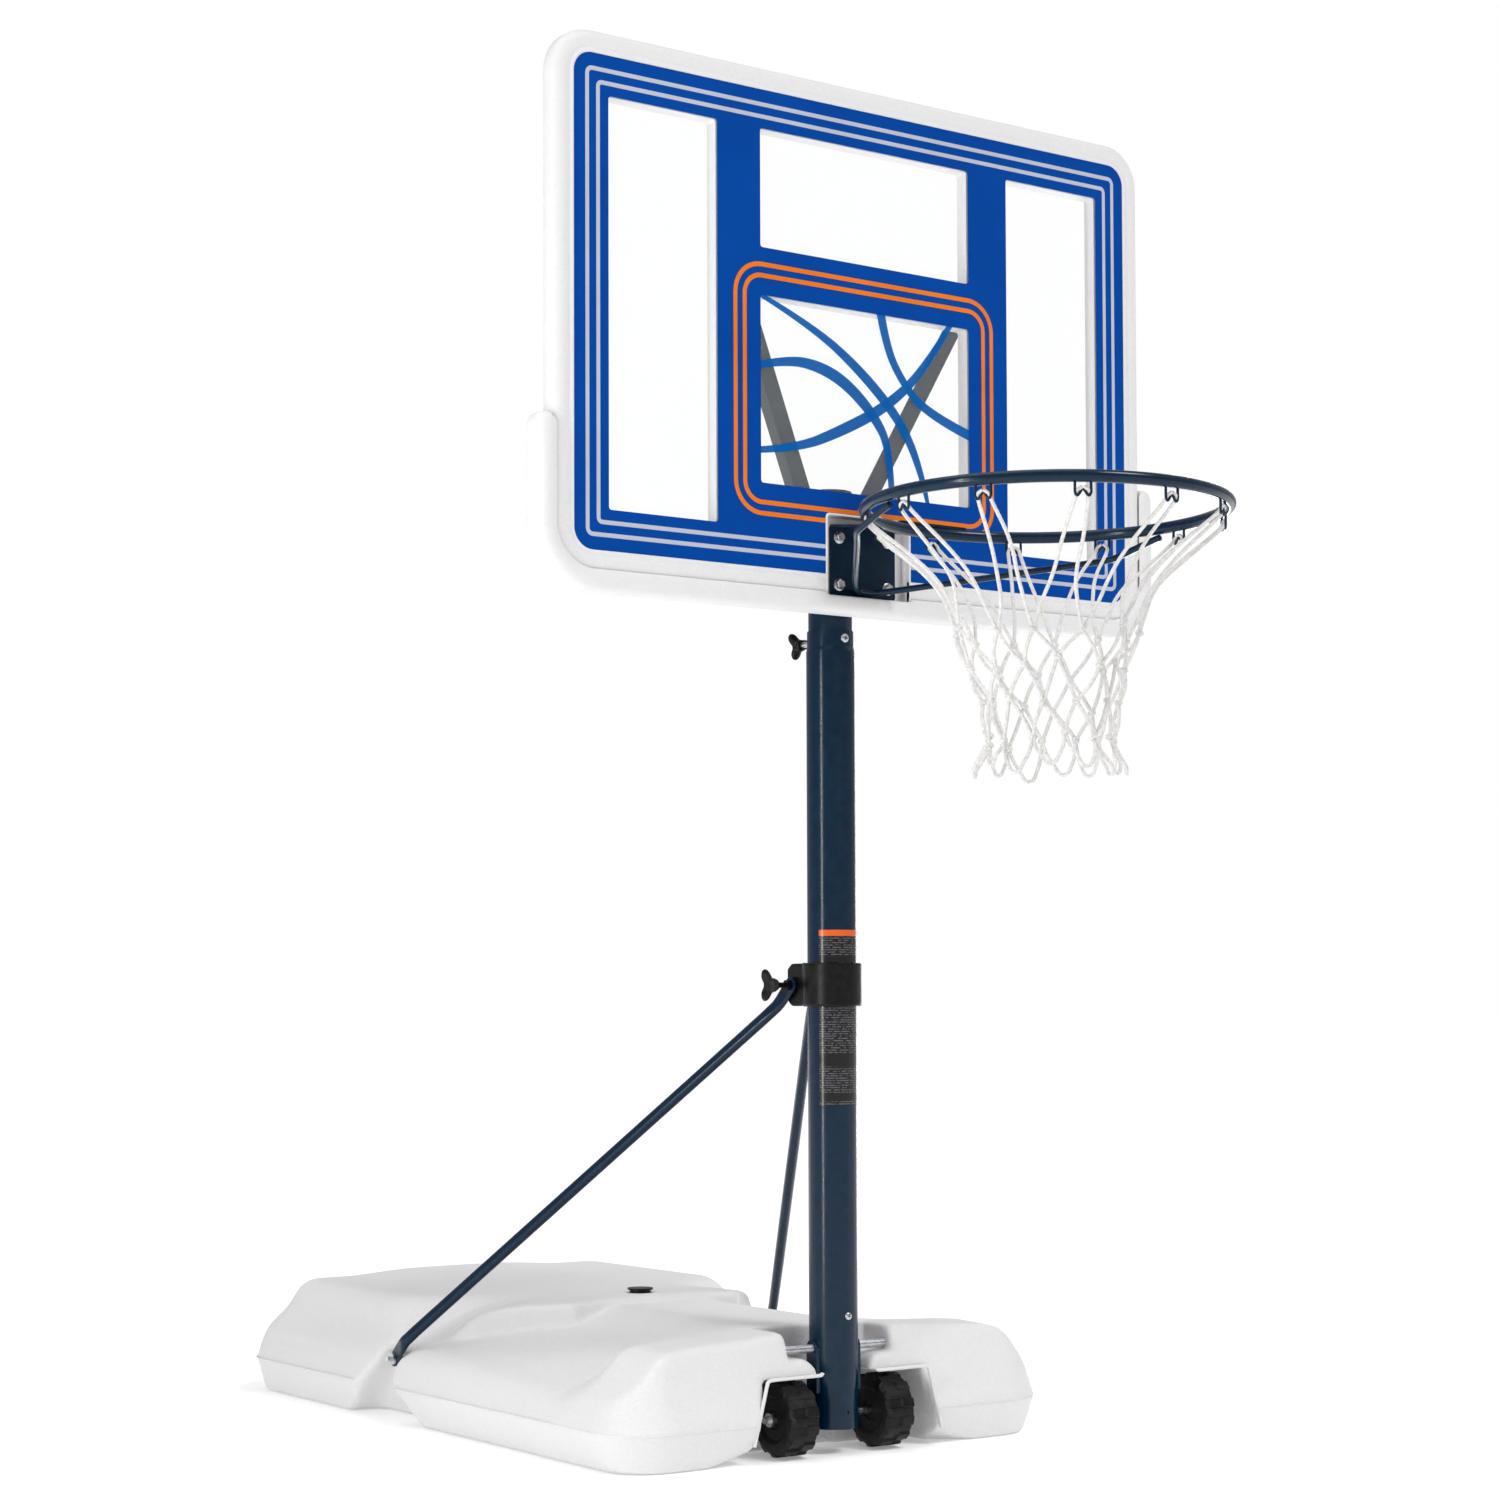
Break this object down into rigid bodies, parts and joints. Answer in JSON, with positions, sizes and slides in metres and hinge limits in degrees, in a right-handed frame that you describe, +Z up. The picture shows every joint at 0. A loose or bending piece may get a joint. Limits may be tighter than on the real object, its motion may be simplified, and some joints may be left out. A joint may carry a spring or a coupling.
{
  "type": "portable basketball hoop",
  "caption": "Free-standing basketball hoop on a hollow wheeled ballast tank, with a braced telescoping pole, a clear-windowed board, a ring and a net.",
  "frame": {"origin": "middle of the footprint at floor level", "axes": "+Z up, +X to the board's right as a player faces away from it, the ring points to -Y and the ballast tank to +Y"},
  "size_m": [1.086, 1.8656, 1.932],
  "materials": {
    "white_plastic": "fine pebbled, moulded",
    "clear_sheet": "clear polycarbonate sheet",
    "navy_paint": "gloss powder coat",
    "zinc": "bright zinc plate",
    "black_plastic": "moulded black plastic",
    "black_tread": "hard black plastic tread",
    "label_film": "printed vinyl wrap",
    "net_cord": "braided white cord"
  },
  "bodies": {
    "base": {"base_tank": "white_plastic", "wheel_axle": "zinc", "pole_rod": "zinc", "axle_push_nuts": "zinc", "lower_pole": "navy_paint", "foot_bracket": "navy_paint", "foot_screw": "zinc", "guide_bolt": "zinc", "weld_nut": "navy_paint", "strut_collar": "black_plastic", "collar_bolt": "zinc", "collar_nuts": "zinc", "strut_left": "navy_paint", "strut_right": "navy_paint", "strut_pins": "zinc", "strut_push_nuts": "zinc", "pole_label": "label_film"},
    "head": {"upper_pole": "navy_paint", "guide_bush": "black_plastic", "pole_cap": "black_plastic", "board_frame": "white_plastic", "board_panel": "clear_sheet", "board_bumper": "white_plastic", "rim_ring": "navy_paint", "rim_bracket": "navy_paint", "rim_brace": "navy_paint", "rim_bolts": "zinc", "rim_washers": "zinc", "rim_nuts": "zinc", "net_hooks": "navy_paint", "net": "net_cord", "board_bracket": "navy_paint", "cross_bolts": "zinc", "cross_nuts": "zinc", "vee_brace_left": "navy_paint", "vee_brace_right": "navy_paint", "vee_screws": "zinc"},
    "height_knob": {"height_knob": "black_plastic", "height_stud": "zinc"},
    "collar_knob": {"collar_knob": "black_plastic"},
    "wheel_left": {"wheel_left": "black_tread"},
    "wheel_right": {"wheel_right": "black_tread"},
    "fill_plug": {"fill_plug": "black_plastic"}
  },
  "joints": [
    {"name": "height_slide", "type": "slide", "parent": "base", "child": "head", "axis": [0, 0, 1], "range_m": [-0.06, 0.69]},
    {"name": "height_knob_turn", "type": "hinge", "parent": "base", "child": "height_knob", "pos_m": [0, -0.1422, 1.157], "axis": [0, 1, 0], "continuous": true},
    {"name": "collar_knob_turn", "type": "hinge", "parent": "base", "child": "collar_knob", "pos_m": [-0.065, -0.1592, 0.663], "axis": [1, 0, 0], "continuous": true},
    {"name": "wheel_left_spin", "type": "hinge", "parent": "base", "child": "wheel_left", "pos_m": [-0.084, -0.2172, 0.0545], "axis": [1, 0, 0], "continuous": true},
    {"name": "wheel_right_spin", "type": "hinge", "parent": "base", "child": "wheel_right", "pos_m": [0.084, -0.2172, 0.0545], "axis": [1, 0, 0], "continuous": true},
    {"name": "fill_plug_pull", "type": "slide", "parent": "base", "child": "fill_plug", "axis": [0, 0, 1], "range_m": [0, 0.06]}
  ]
}
